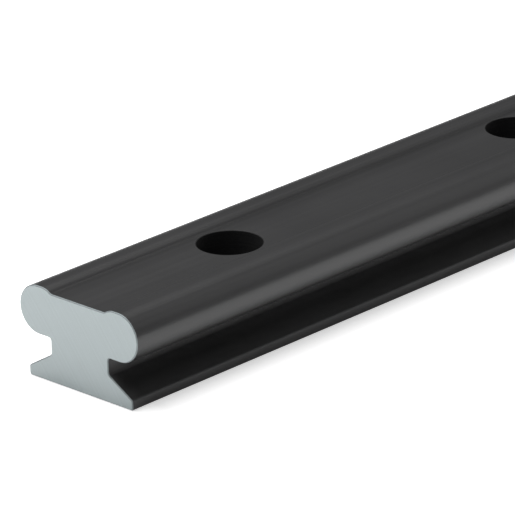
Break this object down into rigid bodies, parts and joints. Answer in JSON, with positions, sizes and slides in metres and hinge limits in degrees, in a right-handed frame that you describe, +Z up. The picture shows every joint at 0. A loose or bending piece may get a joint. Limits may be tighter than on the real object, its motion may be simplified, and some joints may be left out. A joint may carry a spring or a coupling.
{
  "type": "linear guide rail",
  "caption": "Straight double-round guide rail: two round runners joined by a flat web on a narrow neck and flared foot, with counterbored screw holes along the web.",
  "frame": {"origin": "the middle of the flat underside, halfway along the rail and halfway across it", "axes": "+X along the rail, from the end with the shorter distance to its first hole; +Y across it; +Z up from the underside to the runners"},
  "size_m": [0.2, 0.015, 0.009],
  "materials": {
    "anodised_aluminium": "hard anodised black, satin, with faint lines along the extrusion; the sawn ends are bare pale grey metal"
  },
  "bodies": {
    "root": {"rail": "anodised_aluminium"}
  },
  "joints": []
}
